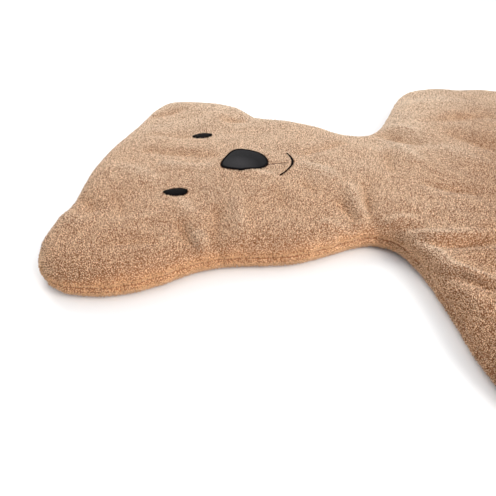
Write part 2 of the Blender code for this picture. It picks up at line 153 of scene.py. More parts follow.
# Folds of the cover over the frame's own, each along a line of places in plan. Its height is below zero in a
# crease and above it on a ridge, and its tilt is how much higher it stands on the left of the line's run.
FOLDS = (
    # fold, places, half width, height, tilt
    ("right shoulder fold", ((-0.205, 0.18), (-0.225, 0.12), (-0.21, 0.03)), 0.012, 0.004, 0.003),
    ("right shoulder crease", ((-0.245, 0.14), (-0.23, 0.03)), 0.012, -0.005, -0.003),
    (
        "right arm crest", ((-0.22, 0.17), (-0.265, 0.127), (-0.295, 0.117), (-0.335, 0.06)),
        0.011, 0.0055, -0.002,
    ),
    ("right arm crease", ((-0.31, 0.122), (-0.355, 0.06)), 0.01, -0.0045, 0.0),
    ("right arm second crest", ((-0.32, 0.128), (-0.352, 0.102), (-0.395, 0.082)), 0.011, 0.0025, -0.001),
    (
        "right arm wall", ((-0.215, 0.172), (-0.28, 0.145), (-0.33, 0.131), (-0.4, 0.115)),
        0.018, -0.002, 0.005,
    ),
    ("left neck crease", ((0.22, 0.18), (0.143, 0.083)), 0.02, -0.0045, 0.0),
    ("left neck lip", ((0.255, 0.16), (0.22, 0.088)), 0.016, 0.003, 0.0),
    ("breast crease", ((0.235, 0.03), (0.19, -0.02), (0.135, -0.065)), 0.022, -0.003, 0.0),
    ("breast swell", ((0.145, 0.055), (0.076, 0.007), (0.05, -0.038)), 0.026, 0.003, 0.0),
    ("right neck ridge", ((-0.07, 0.252), (-0.117, 0.238), (-0.195, 0.223)), 0.011, 0.0035, -0.003),
    ("right neck hollow", ((-0.125, 0.266), (-0.19, 0.236)), 0.013, -0.004, 0.003),
    ("right neck trough", ((-0.055, 0.218), (-0.19, 0.213)), 0.01, -0.005, 0.003),
    ("right neck pit", ((-0.195, 0.215), (-0.217, 0.165)), 0.012, -0.007, 0.0),
    ("left shoulder ridge", ((0.135, 0.138), (0.035, 0.104)), 0.02, 0.003, -0.003),
    ("left shoulder trough", ((0.1, 0.163), (-0.015, 0.164)), 0.012, -0.003, 0.003),
    ("breast low crease", ((-0.048, 0.125), (-0.067, 0.073), (-0.074, 0.015)), 0.018, -0.003, -0.003),
    ("left arm ridge", ((0.365, 0.115), (0.46, -0.035)), 0.035, 0.004, 0.004),
    ("left arm trough", ((0.28, 0.08), (0.34, -0.12)), 0.03, -0.004, -0.004),
    ("right shoulder dip", ((-0.19, 0.178), (-0.203, 0.135)), 0.011, -0.003, 0.0),
    ("right shoulder lip", ((-0.182, 0.2), (-0.168, 0.146)), 0.011, 0.003, 0.0),
    ("right breast swell", ((-0.112, 0.162), (-0.15, 0.112)), 0.018, 0.002, 0.0),
    ("right breast low swell", ((-0.12, 0.105), (-0.185, 0.045)), 0.018, 0.002, 0.0),
    ("chin ridge", ((-0.005, 0.346), (-0.025, 0.293), (-0.063, 0.273)), 0.017, 0.004, 0.0),
    ("chin trough", ((0.03, 0.346), (0.069, 0.303), (0.13, 0.247)), 0.02, -0.0035, -0.0035),
    ("right jaw ridge", ((-0.15, 0.44), (-0.275, 0.408)), 0.01, 0.003, -0.003),
    ("right cheek hollow", ((-0.17, 0.464), (-0.29, 0.449)), 0.015, -0.003, 0.004),
    ("lip swell", ((-0.054, 0.446), (-0.064, 0.38)), 0.013, 0.003, 0.0),
    ("right jaw dimple", ((-0.102, 0.373), (-0.17, 0.355)), 0.012, -0.002, 0.002),
    ("right throat lip", ((-0.2, 0.303), (-0.211, 0.252)), 0.011, 0.0025, 0.0),
    ("right chin dimple", ((-0.066, 0.33), (-0.115, 0.302)), 0.013, -0.002, 0.002),
    ("left brow crease", ((0.11, 0.68), (0.117, 0.58)), 0.022, -0.003, -0.002),
    ("middle brow crease", ((0.022, 0.665), (0.018, 0.562), (0.009, 0.496)), 0.02, -0.004, -0.003),
    ("right brow ridge", ((-0.04, 0.708), (-0.079, 0.635), (-0.125, 0.576)), 0.018, 0.003, 0.0),
    ("nose bridge", ((-0.046, 0.612), (-0.046, 0.494)), 0.02, 0.0035, 0.003),
    ("right eye ridge", ((-0.155, 0.537), (-0.225, 0.499)), 0.013, 0.0035, -0.003),
    ("right cheek crease", ((-0.226, 0.519), (-0.295, 0.487)), 0.013, -0.005, 0.004),
    ("right cheek lip", ((-0.254, 0.487), (-0.304, 0.461)), 0.01, 0.004, -0.002),
    ("right ear ridge", ((-0.222, 0.726), (-0.268, 0.662)), 0.016, 0.003, 0.0),
    ("right ear root", ((-0.155, 0.72), (-0.22, 0.66)), 0.015, -0.004, 0.001),
    ("right temple dip", ((-0.16, 0.65), (-0.236, 0.603)), 0.014, -0.002, 0.002),
    ("right ear dip", ((-0.323, 0.625), (-0.298, 0.528)), 0.014, -0.002, -0.002),
    ("left ear root", ((0.222, 0.714), (0.295, 0.632)), 0.022, -0.005, -0.004),
    ("left ear ridge", ((0.312, 0.55), (0.28, 0.476)), 0.028, 0.003, 0.0),
    ("left cheek trough", ((0.215, 0.538), (0.238, 0.47)), 0.018, -0.004, -0.003),
    ("right temple ridge", ((-0.25, 0.603), (-0.22, 0.543)), 0.015, 0.0015, 0.0015),
    ("lip line", ((-0.0155, 0.404), (0.0015, 0.36)), 0.006, -0.0012, 0.0),
)


def metres(name, description, default):
    """A setting that is a length."""
    return FloatProperty(name=name, description=description, default=default, unit="LENGTH")


def plain_number(name, description, default):
    """A setting without a unit, or in the one that its description names."""
    return FloatProperty(name=name, description=description, default=default)


def place_at(name, description, default):
    """A setting that is a place, in plan or in space."""
    return FloatVectorProperty(
        name=name, description=description, default=default, size=len(default), unit="LENGTH"
    )


def paint(name, description, default):
    """A setting that is a colour, in linear light."""
    return FloatVectorProperty(name=name, description=description, default=default, subtype="COLOR")


class PadSizes(bpy.types.PropertyGroup):
    """Sizes of the filled cover under the pile."""

    voxel: metres("Mesh pitch", "Side of the cover's quads", 0.0060)
    smoothing: IntProperty(name="Smoothing", description="Passes that take the facets out", default=14)
    pile_depth: metres("Pile depth", "How far the cloth lies under the curls' tips", 0.0022)
    seam_height: metres("Seam height", "Height of the rim's seam above the floor", 0.025)
    seam_depth: metres("Seam depth", "How far the seam pulls the cover in", 0.0045)
    seam_reach: metres("Seam reach", "Half the height of the seam's groove", 0.0045)
    pucker: metres("Pucker", "Height of the small gathers beside the seam", 0.0010)
    pucker_reach: metres("Pucker reach", "How far the gathers run from the seam", 0.016)
    fold_depth: plain_number("Fold depth", "Share of each fold's height", 1.4)
    ear_tip: place_at("Ear tip", "Outer tip of the right ear in plan", (-0.370, 0.690))
    ear_swell: metres("Ear swell", "How far the rim is filled out at that tip", 0.008)
    ear_reach: metres("Ear reach", "How far round the tip the swell goes", 0.055)
    lump: metres("Lumps", "Height of the filling's soft lumps", 0.0010)


class PileSizes(bpy.types.PropertyGroup):
    """Sizes of the curls."""

    pitch: metres("Pitch", "Distance between curls", 0.00245)
    length: metres("Length", "Half the long side of a curl", 0.0021)
    width: metres("Width", "Half the short side of a curl", 0.0014)
    height: metres("Height", "Height of a tip over the cloth", 0.0029)
    sunk: metres("Sunk", "Depth of a tuft's foot", 0.0006)
    spread: plain_number("Spread", "Share by which the curls' sizes differ", 0.30)
    roundness: plain_number("Roundness", "How far a tuft's sides are shaded aside", 0.60)
    seam_gap: metres("Seam gap", "Bare height on each side of the seam", 0.0016)
    face_gap: metres("Face gap", "Bare cloth round the face's stitches", 0.0018)


class FaceSizes(bpy.types.PropertyGroup):
    """Sizes of the nose, the eyes and the mouth, close to those of their solids."""

    eye_length: metres("Eye length", "Eye's length down the face", 0.042)
    eye_width: metres("Eye width", "Eye's width across the face", 0.027)
    left_wider: plain_number("Left eye", "Its width as a share of the right eye's", 1.14)
    drop: plain_number("Eye drop", "Share by which an eye narrows to the brow", 0.08)
    right_lean: plain_number("Right lean", "Lean of the right eye", 17.0)
    left_lean: plain_number("Left lean", "Lean of the left eye", 15.0)
    nose_middle: place_at("Nose middle", "Middle of the nose in plan", (-0.006, 0.4447))
    nose_length: metres("Nose length", "Down the face", 0.088)
    nose_width: metres("Nose width", "Across the face", 0.0945)
    nose_tilt: plain_number("Nose tilt", "Turn of the nose in degrees", -11.0)
    brow_power: plain_number("Brow power", "Squareness of the nose towards the brow", 3.6)
    chin_power: plain_number("Chin power", "Squareness of the nose towards the chin", 1.9)
    taper: plain_number("Nose taper", "Share by which it is wider at the brow", 0.10)
    skew: plain_number("Nose skew", "Slide of the brow side to the bear's left", 0.070)
    # Where the nose cloth takes a painted highlight.
    painted_highlight: place_at("Painted_highlight", "Where the nose cloth is palest", (-0.030, 0.455))
    band: metres("Band", "Width of the nose's stitched band", 0.0045)
    mouth_middle: place_at("Mouth middle", "Lowest place of the smile", (0.0005, 0.3550))
    mouth_right: metres("Mouth right", "Span to the bear's right", 0.0575)
    mouth_left: metres("Mouth left", "Span to the bear's left", 0.0490)
    mouth_rise: metres("Mouth rise", "How far its ends rise", 0.020)
    mouth_bend: plain_number("Mouth bend", "Power of the smile's curve", 1.8)
    mouth_width: metres("Mouth width", "Width at its middle", 0.0046)
    lip_top: place_at("Lip line top", "Upper end of the lip line", (-0.0150, 0.4020))
    lip_low: place_at("Lip line end", "Lower end of the lip line", (0.0010, 0.3630))
    thread: metres("Thread", "Thickness of the embroidery thread", 0.0011)
    stitch_pitch: metres("Stitch pitch", "Between two stitches", 0.0009)
    ragged: metres("Ragged", "How unevenly the stitches end", 0.00045)


class Colours(bpy.types.PropertyGroup):
    """Colours of the finishes."""

    curl_tip: paint("Curl tip", "Fleece at the tips", (0.970, 0.750, 0.555))
    # Partly the fleece's own colour at the roots and partly painted shade deep between the curls.
    curl_root_and_shade: paint("Curl root", "Fleece at the roots", (0.150, 0.055, 0.020))
    # Partly the open pile's colour over the rim and partly painted light on the head's walls.
    rim_curl_and_light: paint("Rim curl", "Fleece over the rim", (0.740, 0.375, 0.165))
    cloth_under: paint("Ground cloth", "Cloth that shows between curls", (0.260, 0.115, 0.055))
    nose_cloth: paint("Nose cloth", "Charcoal cloth", (0.010, 0.0093, 0.0100))
    black_thread: paint("Black thread", "Embroidery thread", (0.007, 0.006, 0.006))
    brown_thread: paint("Brown thread", "Thread of the lip line", (0.110, 0.055, 0.038))
    floor: paint("Floor", "Pale floor", (0.96, 0.96, 0.96))


class StageSizes(bpy.types.PropertyGroup):
    """The camera, the lights and the floor."""

    camera_place: place_at("Camera", "Place of the lens", (-0.8974, 0.3288, 0.4642))
    camera_yaw: plain_number("Yaw", "Degrees that the view turns from +X to -Y", -7.07)
    camera_pitch: plain_number("Pitch", "Degrees that the view looks down", 33.98)
    camera_roll: plain_number("Roll", "Degrees of roll", 0.65)
    lens: plain_number("Lens", "Focal length in millimetres on a 36 mm sensor", 36.29)
    floor_side: metres("Floor", "Side of the floor", 16.0)
    sky: plain_number("Sky", "Strength of the light from all round", 0.74)
    sky_colour: paint("Sky colour", "Colour of the light from all round", (0.93, 0.99, 1.06))
    key_place: place_at("Key light", "Place of the main lamp", (-2.03, -2.03, 2.01))
    key_power: plain_number("Key power", "Main lamp in watts", 111.0)
    fill_place: place_at("Second light", "Place of the second lamp", (2.03, 2.03, 2.01))
    fill_power: plain_number("Second power", "Second lamp in watts", 73.0)
    lamp_colour: paint("Lamp colour", "Colour of both lamps", (1.03, 0.985, 0.92))
    lamp_side: metres("Lamp side", "Side of each lamp", 2.0)


class BearRug(bpy.types.PropertyGroup):
    """All of the rug's settings."""

    pad: PointerProperty(type=PadSizes)
    pile: PointerProperty(type=PileSizes)
    face: PointerProperty(type=FaceSizes)
    colours: PointerProperty(type=Colours)
    stage: PointerProperty(type=StageSizes)


def settings():
    """The rug's settings in this scene."""
    return bpy.context.scene.bear_rug


class Number:
    """A number socket that takes Python's operators and adds a Math node for each."""

    def __init__(self, tree, socket):
        self.tree = tree
        self.socket = socket

    def ramp(self, start, slope):
        """Grows from 0 where this number is at the start to 1, by the slope."""
        return (slope * (self - start)).clamped()

    def math(self, operation, *values):
        """The result of one Math node on these values."""
        node = self.tree.nodes.new("ShaderNodeMath")
        node.operation = operation
        for place, value in zip(node.inputs, values):
            feed(self.tree, place, value)
        return Number(self.tree, node.outputs[0])

    def __add__(self, other):
        return self.math("ADD", self, other)

    __radd__ = __add__

    def __mul__(self, other):
        return self.math("MULTIPLY", self, other)

    __rmul__ = __mul__

    def __sub__(self, other):
        return self.math("SUBTRACT", self, other)

    def __rsub__(self, other):
        return self.math("SUBTRACT", other, self)

    def sine(self):
        """The sine of this number."""
        return self.math("SINE", self)

    def clamped(self):
        """This number kept between 0 and 1."""
        return self.math("MINIMUM", self.math("MAXIMUM", self, 0.0), 1.0)


def feed(tree, place, value):
    """Links a socket or a Number to an input, or sets its value."""
    if isinstance(value, Number):
        value = value.socket
    if isinstance(value, bpy.types.NodeSocket):
        tree.links.new(value, place)
    else:
        place.default_value = value


class Finish:
    """A material under construction: its node tree and its Principled shader, as glossy as specular says."""

    def __init__(self, name, specular, **constants):
        self.material = bpy.data.materials.new(name)
        self.material.use_nodes = True
        self.tree = self.material.node_tree
        self.shader = self.tree.nodes["Principled BSDF"]
        self.shader.inputs["Specular IOR Level"].default_value = specular
        for socket, value in constants.items():
            self.shader.inputs[socket.replace("_", " ").title()].default_value = value

    def node(self, kind, choices=(), values=()):
        """Adds a node of this kind with its choices set first, then its sockets."""
        made = self.tree.nodes.new("ShaderNode" + kind)
        for name, choice in dict(choices).items():
            setattr(made, name, choice)
        for place, value in dict(values).items():
            feed(self.tree, made.inputs[place], value)
        return made

    def number(self, socket):
        """A socket as a Number."""
        return Number(self.tree, socket)

    def place(self):
        """The piece's own coordinates, in metres."""
        return self.node("TexCoord").outputs["Object"]

    def attribute(self, name):
        """A number that the mesh holds for each of its points."""
        return self.number(self.node("Attribute", {"attribute_name": name}).outputs["Fac"])

    def noise(self, scale, detail=2.0):
        """Soft noise from 0 to 1, with this many features a metre."""
        values = {"Vector": self.place(), "Scale": scale, "Detail": detail, "Roughness": 0.5}
        return self.number(self.node("TexNoise", values=values).outputs[0])

    def cells(self, scale):
        """How far a point lies from the middle of its cell, with this many cells a metre."""
        values = {"Vector": self.place(), "Scale": scale}
        return self.number(self.node("TexVoronoi", values=values).outputs["Distance"])

    def mixed(self, factor, first, second, blend="MIX"):
        """Two colours mixed by a factor."""
        made = self.node("Mix", {"data_type": "RGBA", "blend_type": blend})
        feed(self.tree, made.inputs[0], factor)
        for place, colour in ((made.inputs[6], first), (made.inputs[7], second)):
            feed(self.tree, place, colour if isinstance(colour, bpy.types.NodeSocket) else (*colour, 1.0))
        return made.outputs[2]

    def bump(self, height, distance, strength=1.0):
        """Feeds the shader's normal from a height, with the depth in metres."""
        made = self.node("Bump", values={"Height": height, "Distance": distance, "Strength": strength})
        self.tree.links.new(made.outputs["Normal"], self.shader.inputs["Normal"])

    def feed(self, socket, value):
        """Feeds one of the shader's inputs."""
        feed(self.tree, self.shader.inputs[socket], value)


def pile_finish():
    """The curls. Each goes from a deep warm root to a pale tip, broken up by the small loops of its yarn,
    and is a little paler or deeper than the next; the dark roots and the dark gaps between the loops are
    partly the fleece's own colour and partly painted shade between the curls. Creases take painted shade
    and ridges a painted highlight. Towards the bear's left the rug is paler and cooler with painted sheen;
    towards its right and lower down it is deeper and warmer with painted shade, and it is deeper at the
    crown, over the breast and down the trunk. Over the rim it takes a colour that is partly open pile and
    partly painted light on the head's walls, while the walls down the trunk are darker with painted shade."""
    colours = settings().colours
    sheen = {"sheen_weight": 0.25, "sheen_roughness": 0.3, "sheen_tint": (1.0, 0.95, 0.88, 1.0)}
    finish = Finish("curly pile", 0.1, roughness=0.95, **sheen)
    tip, tint = finish.attribute("tip"), finish.attribute("tint")
    relief, rim = finish.attribute("relief"), finish.attribute("rim")
    drift = finish.noise(9.0)
    patch = finish.noise(38.0)
    # The yarn's small loops, with painted shade in the gaps between them.
    loops = 0.55 - finish.cells(700.0)
    axes = finish.node("SeparateXYZ", values={0: finish.place()}).outputs
    x, y = finish.number(axes["X"]), finish.number(axes["Y"])
    down = y.ramp(0.10, -6.0)
    trunk = y.ramp(0.20, -12.0)
    crown = y.ramp(0.20, 2.0)
    breast = trunk * (1.0 - 3.2 * x.math("ABSOLUTE", x)).clamped()
    # A mask that grows towards the bear's left and falls lower down: paler and cooler there with painted
    # sheen, deeper and warmer on the other side with painted shade.
    closed = (0.5 + 1.1 * x - 0.40 * down).clamped()
    pale = 0.08
    # How far each cause moves a curl from its root's colour, at 0, to its tip's, at 1.
    for weight, cause in (
        # From root to tip: the roots' depth is partly painted shade between the curls.
        (0.85, tip),
        (0.30, tint - 0.5),
        (5.8, loops),
        (0.12, drift - 0.5),
        (0.25, patch - 0.5),
        # Painted shade in creases and a painted highlight on ridges.
        (20.0, relief),
        # Painted sheen towards the bear's left.
        (0.39, closed - 0.5),
        # Over the rim: partly open pile, partly painted light on the walls.
        (0.30, rim),
        # Painted shade on the walls down the trunk.
        (-0.68, trunk * rim),
        # Painted shade lower down on the bear's right.
        (-0.50, down * (1.0 - closed)),
        (-0.10, breast),
        (-0.06, crown),
        (-0.03, trunk),
    ):
        pale = pale + weight * cause
    colour = finish.mixed(pale.clamped(), colours.curl_root_and_shade, colours.curl_tip)
    # Warmer towards the bear's right and in creases, as painted shade, with a random drift besides.
    warmth = (0.88 - 1.0 * closed + 0.5 * (drift - 0.5) - 50.0 * relief).clamped()
    warmed = finish.mixed(warmth, colour, (0.97, 0.80, 0.66), "MULTIPLY")
    # The rim's colour, partly painted light on the head's walls, with less of it down the trunk, whose walls
    # take painted shade.
    at_rim = ((0.55 - 0.35 * trunk) * rim).clamped()
    finish.feed("Base Color", finish.mixed(at_rim, warmed, colours.rim_curl_and_light))
    finish.bump(finish.noise(1500.0, 1.0), 0.0006, 0.5)
    return finish.material


def cover_finish():
    """The ground cloth of the fleece, a dull brown with the crumb of short loops."""
    colours = settings().colours
    finish = Finish("ground cloth", 0.1, roughness=1.0, sheen_weight=0.15, sheen_roughness=0.5)
    crumb = finish.cells(240.0)
    lighter = tuple(1.35 * c for c in colours.cloth_under)
    finish.feed("Base Color", finish.mixed(crumb.clamped(), lighter, colours.cloth_under))
    finish.bump(1.0 - crumb, 0.0016, 0.8)
    return finish.material


def nose_finish():
    """Charcoal cloth with a fine close weave, paler round one place with a painted highlight."""
    face, colours = settings().face, settings().colours
    finish = Finish("charcoal cloth", 0.05, roughness=0.7, sheen_weight=0.01, sheen_roughness=0.4)
    cloud = finish.noise(60.0, 3.0)
    # A painted highlight: paler round one place, broken up by a cloud.
    spot = (*face.painted_highlight, 0.060)
    away = finish.node("VectorMath", {"operation": "DISTANCE"}, {0: finish.place(), 1: spot})
    painted_highlight = (1.15 - 30.0 * finish.number(away.outputs["Value"])).clamped() + 0.6 * (cloud - 0.5)
    light = tuple(3.2 * c for c in colours.nose_cloth)
    finish.feed("Base Color", finish.mixed(painted_highlight.clamped(), colours.nose_cloth, light))
    finish.feed("Roughness", 0.62 + 0.16 * cloud)
    finish.bump(finish.noise(1800.0, 1.0), 0.0003, 0.6)
    return finish.material


def thread_finish(name, colour, roughness):
    """Embroidery thread: plies that wind round each strand, seen as fine slanting ridges."""
    finish = Finish(name, 0.04, roughness=roughness)
    run = finish.attribute("run")
    turn = finish.attribute("turn")
    ply = (2.0 * math.pi * (run * 700.0 + turn)).sine() * 0.5 + 0.5
    dark = tuple(0.6 * c for c in colour)
    finish.feed("Base Color", finish.mixed(ply, dark, tuple(colour)))
    finish.bump(ply, 0.00015, 0.7)
    return finish.material


def floor_finish():
    """Matt pale floor with hardly any mottle."""
    finish = Finish("pale floor", 0.1, roughness=0.9)
    colour = settings().colours.floor
    darker = tuple(0.995 * c for c in colour)
    finish.feed("Base Color", finish.mixed(finish.noise(2.0), darker, tuple(colour)))
    return finish.material


def read_rows(things, name):
    """What a mesh's points or faces hold by this name, as rows of three numbers."""
    values = np.empty(len(things) * 3, np.float32)
    things.foreach_get(name, values)
    return values.reshape(-1, 3).astype(float)


def put_vertices(mesh, points):
    """Moves the mesh's points."""
    mesh.vertices.foreach_set("co", points.astype(np.float32).ravel())
    mesh.update()


def point_attribute(mesh, name, values):
    """Stores a number for each point of the mesh."""
    attribute = mesh.attributes.new(name, "FLOAT", "POINT")
    attribute.data.foreach_set("value", values.astype(np.float32).ravel())


def mesh_of(name, points, faces):
    """A mesh from rows of points and rows of the points round each face, shaded smooth."""
    mesh = bpy.data.meshes.new(name)
    sides = faces.shape[1]
    mesh.vertices.add(len(points))
    mesh.vertices.foreach_set("co", points.astype(np.float32).ravel())
    mesh.loops.add(faces.size)
    mesh.loops.foreach_set("vertex_index", faces.astype(np.int32).ravel())
    mesh.polygons.add(len(faces))
    mesh.polygons.foreach_set("loop_start", np.arange(0, faces.size, sides, dtype=np.int32))
    mesh.polygons.foreach_set("loop_total", np.full(len(faces), sides, np.int32))
    mesh.update(calc_edges=True)
    mesh.validate()
    mesh.shade_smooth()
    return mesh


def put(name, data):
    """A new object with this mesh, lamp or camera, in the scene."""
    made = bpy.data.objects.new(name, data)
    bpy.context.scene.collection.objects.link(made)
    return made


def add_piece(name, mesh, material, nodes=()):
    """Puts a finished mesh into the scene as a piece of the rug."""
    mesh.materials.clear()
    mesh.materials.append(material)
    piece = put(name, mesh)
    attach(piece, BODY)
    if nodes:
        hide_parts(*nodes)
    return piece


def merged_copy(node):
    """A CAD node's mesh with its loose triangles merged."""
    mesh = bmesh.new()
    mesh.from_mesh(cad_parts[node].data)
    bmesh.ops.remove_doubles(mesh, verts=mesh.verts[:], dist=1e-5)
    merged = bpy.data.meshes.new(node + "_copy")
    mesh.to_mesh(merged)
    mesh.free()
    return merged


def even_quads(mesh, pitch, smoothing):
    """The mesh remade in quads of one size and smoothed, as a new mesh."""
    helper = put("helper", mesh)
    remesh = helper.modifiers.new("even quads", "REMESH")
    remesh.mode = "VOXEL"
    remesh.voxel_size = pitch
    if smoothing:
        smooth = helper.modifiers.new("soft", "SMOOTH")
        smooth.factor = 0.5
        smooth.iterations = smoothing
    graph = bpy.context.evaluated_depsgraph_get()
    made = bpy.data.meshes.new_from_object(helper.evaluated_get(graph))
    bpy.data.objects.remove(helper)
    return made


def waves(points, length, seed, count=7):
    """A soft random field about zero: a sum of sines along random directions, whose wavelengths lie round
    the length given, scaled so that its strength doesn't depend on how many they are."""
    pick = np.random.default_rng(seed)
    total = np.zeros(len(points))
    for _ in range(count):
        direction = pick.normal(size=3)
        direction /= np.linalg.norm(direction)
        pace = 2.0 * math.pi / (length * pick.uniform(0.75, 1.4))
        total += np.sin(points @ direction * pace + pick.uniform(0.0, 2.0 * math.pi))
    return total / math.sqrt(count / 2.0)


def unit(vectors):
    """The vectors, along the last axis, at length one."""
    return vectors / np.linalg.norm(vectors, axis=-1, keepdims=True)


def length_run(points):
    """The length from the first point up to each, along the line that they make."""
    return np.concatenate([[0.0], np.cumsum(np.linalg.norm(np.diff(points, axis=0), axis=1))])


def rising(values, start, reach):
    """Grows from 0 at the start to 1 over the reach."""
    return np.clip((values - start) / reach, 0.0, 1.0)


def line_distance(plan, start, end):
    """How far each plan point lies from a straight line between two places."""
    start, end = np.array(start), np.array(end)
    run = end - start
    share = np.clip(((plan - start) @ run) / (run @ run), 0.0, 1.0)
    return np.linalg.norm(plan - start - share[:, None] * run, axis=1)


def line_place(plan, places):
    """For each plan point, how far it lies from a line of places, to the left of the line's run above zero,
    and its share of the line's length."""
    places = np.array(places)
    runs = np.diff(places, axis=0)
    lengths = np.linalg.norm(runs, axis=1)
    before = np.concatenate([[0.0], np.cumsum(lengths)])
    away = plan[:, None] - places[None, :-1]
    along = np.clip((away * runs).sum(axis=2) / lengths**2, 0.0, 1.0)
    off = away - along[:, :, None] * runs
    distance = np.linalg.norm(off, axis=2)
    nearest = distance.argmin(axis=1)
    row = np.arange(len(plan))
    left = runs[nearest, 0] * off[row, nearest, 1] - runs[nearest, 1] * off[row, nearest, 0]
    share = (before[nearest] + along[row, nearest] * lengths[nearest]) / before[-1]
    return np.copysign(distance[row, nearest], left), share


def folds(plan):
    """The folds' heights at plan points: across its line each is a bell times its height plus its tilt, and
    it fades out to both ends as the root of a sine. All are scaled by the fold depth."""
    height = np.zeros(len(plan))
    for _, places, half_width, rise, tilt in FOLDS:
        away, share = line_place(plan, places)
        across = away / half_width
        height += np.sqrt(np.sin(math.pi * share)) * np.exp(-(across**2)) * (rise + tilt * across)
    return settings().pad.fold_depth * height


def shaped_cover(points, normals):
    """The cover under the pile. Each point of the frame's surface moves in along its normal by the pile's
    depth, but for the underside, which stays on the floor; then the seam's groove is drawn in as a bell
    round the seam's height, small gathers fade out from it, the wall swells as a bell round the ear's tip,
    and lumps and small folds raise the front."""
    sizes = settings().pad
    up = normals[:, 2]
    off_floor = rising(up, *OFF_FLOOR)
    upward = rising(up, *FOLDED)
    wall = np.clip(1.0 - np.abs(up), 0.0, 1.0)
    from_seam = points[:, 2] - sizes.seam_height
    groove = wall * np.exp(-((from_seam / sizes.seam_reach) ** 2))
    gathers = np.exp(-((from_seam / sizes.pucker_reach) ** 2)) * off_floor
    move = -sizes.pile_depth * off_floor
    move -= sizes.seam_depth * groove
    move += sizes.pucker * gathers * waves(points, GATHER_LENGTH, GATHER_SEED)
    from_tip = np.linalg.norm(points[:, :2] - np.array(sizes.ear_tip), axis=1)
    move += sizes.ear_swell * wall * np.exp(-((from_tip / sizes.ear_reach) ** 2))
    move += upward * (sizes.lump * waves(points, LUMP_LENGTH, LUMP_SEED) + folds(points[:, :2]))
    moved = points + normals * move[:, None]
    moved[:, 2] = np.maximum(moved[:, 2], FLOOR_GAP)
    return moved


class Front:
    """The height of the pile's tips over the face, read between the nodes of an even grid."""

    def __init__(self, low=FACE_LOW, high=FACE_HIGH, step=0.004):
        cover = bpy.data.objects[PAD].data
        cover.calc_loop_triangles()
        corners = np.empty(len(cover.loop_triangles) * 3, np.int32)
        cover.loop_triangles.foreach_get("vertices", corners)
        points = read_rows(cover.vertices, "co")
        surface = BVHTree.FromPolygons(points.tolist(), corners.reshape(-1, 3).tolist())
        self.low, self.step = np.array(low), step
        columns, rows = (math.ceil((b - a) / step) + 1 for a, b in zip(low, high))
        down = Vector((0.0, 0.0, -1.0))
        self.grid = np.array([
            [
                surface.ray_cast(Vector((low[0] + i * step, low[1] + j * step, 1.0)), down)[0].z
                for j in range(rows)
            ]
            for i in range(columns)
        ])
        self.grid += settings().pad.pile_depth

    def height(self, plan):
        """The height at plan points, mixed from the four grid nodes round each."""
        spot = (plan - self.low) / self.step
        cell = np.clip(np.floor(spot).astype(int), 0, np.array(self.grid.shape) - 2)
        share = spot - cell
        i, j = cell[..., 0], cell[..., 1]
        u, v = share[..., 0], share[..., 1]
        near = self.grid[i, j] * (1 - v) + self.grid[i, j + 1] * v
        far = self.grid[i + 1, j] * (1 - v) + self.grid[i + 1, j + 1] * v
        return near * (1 - u) + far * u

    def lifted(self, plan, lift):
        """Points over these plan points, this far above the pile's tips."""
        return np.concatenate([plan, (self.height(plan) + lift)[..., None]], axis=-1)


def turned(plan, middle, degrees):
    """Plan points turned anticlockwise about a place, seen from above."""
    turn = math.radians(degrees)
    across = np.array([math.cos(turn), math.sin(turn)])
    along = np.array([-math.sin(turn), math.cos(turn)])
    away = plan - middle
    return middle + away[..., :1] * across + away[..., 1:] * along


def nose_loop(grow, count=240):
    """The nose's edge, grown outwards by this much: an oval whose power is higher towards the brow, where
    it is also wider and slid aside, in proportion to how far along it a point lies."""
    face = settings().face
    turn = np.linspace(0.0, 2.0 * math.pi, count, endpoint=False)
    power = np.where(np.sin(turn) > 0.0, face.brow_power, face.chin_power)
    across = np.sign(np.cos(turn)) * np.abs(np.cos(turn)) ** (2.0 / power)
    along = np.sign(np.sin(turn)) * np.abs(np.sin(turn)) ** (2.0 / power)
    middle = np.array(face.nose_middle)
    half_width, half_length = face.nose_width / 2 + grow, face.nose_length / 2 + grow
    x = half_width * across * (1.0 + face.taper * along) + face.skew * half_length * along
    return turned(middle + np.stack([x, half_length * along], axis=1), middle, face.nose_tilt)


def eye_middle(node):
    """The middle of an eye's CAD node in plan."""
    low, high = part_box(node)
    return np.array([(low.x + high.x) / 2, (low.y + high.y) / 2])


def eye_half_width(node):
    """Half an eye's width across the face: the left eye is stitched a little wider."""
    face = settings().face
    return face.eye_width / 2 * (face.left_wider if node == "eye_left" else 1.0)


def eye_loop(node, lean, grow, count=48):
    """An eye's oval edge, grown outwards by this much and a little narrower towards the brow."""
    face = settings().face
    turn = np.linspace(0.0, 2.0 * math.pi, count, endpoint=False)
    half_width, half_length = eye_half_width(node) + grow, face.eye_length / 2 + grow
    middle = eye_middle(node)
    across = half_width * np.cos(turn) * (1.0 - face.drop * np.sin(turn))
    oval = middle + np.stack([across, half_length * np.sin(turn)], axis=1)
    return turned(oval, middle, lean)


def mouth_curve(share):
    """The smile's middle line and half width, at shares from -1 at the bear's right to 1 at its left: it
    rises by a power of the distance from its middle, and its width falls from there to a share of it by a
    power of a cosine, which is higher on the bear's right, where the smile is thinner."""
    face = settings().face
    on_right = share < 0.0
    out = np.where(on_right, face.mouth_right, face.mouth_left) * share
    x = face.mouth_middle[0] + out
    y = face.mouth_middle[1] + face.mouth_rise * np.abs(out / face.mouth_right) ** face.mouth_bend
    least, power = np.where(on_right, *MOUTH_LEAST), np.where(on_right, *MOUTH_THINNING)
    half = face.mouth_width / 2 * (least + (1.0 - least) * np.cos(share * math.pi / 2) ** power)
    return np.stack([x, y], axis=1), half


